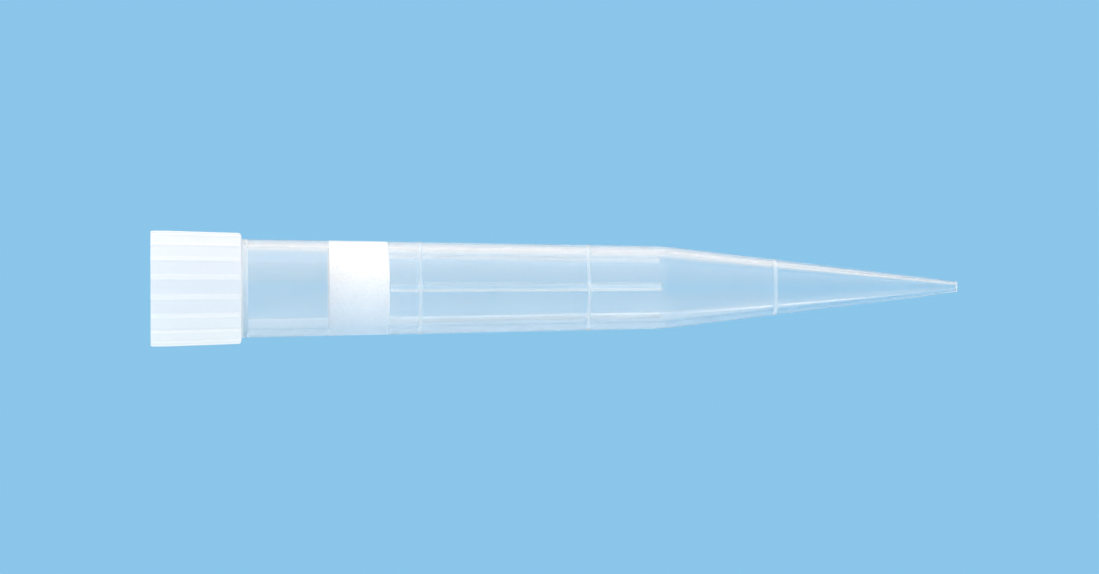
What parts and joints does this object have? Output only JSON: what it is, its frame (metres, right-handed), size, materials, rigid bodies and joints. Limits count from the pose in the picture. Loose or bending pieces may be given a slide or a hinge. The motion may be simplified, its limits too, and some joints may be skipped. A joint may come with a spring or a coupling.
{
  "type": "pipette tip",
  "caption": "Tapered plastic pipette tip with a ridged collar, graduation rings and a porous filter plug inside.",
  "frame": {"origin": "centre of the mouth rim, on which the tip stands", "axes": "+Z along the axis from the mouth to the point; -Y is the front, where one of the three inner ribs is"},
  "size_m": [0.0104, 0.0104, 0.073],
  "materials": {
    "clear_polypropylene": "satin",
    "porous_polyethylene": "matte"
  },
  "bodies": {
    "root": {"tip_body": "clear_polypropylene", "filter_plug": "porous_polyethylene"}
  },
  "joints": []
}
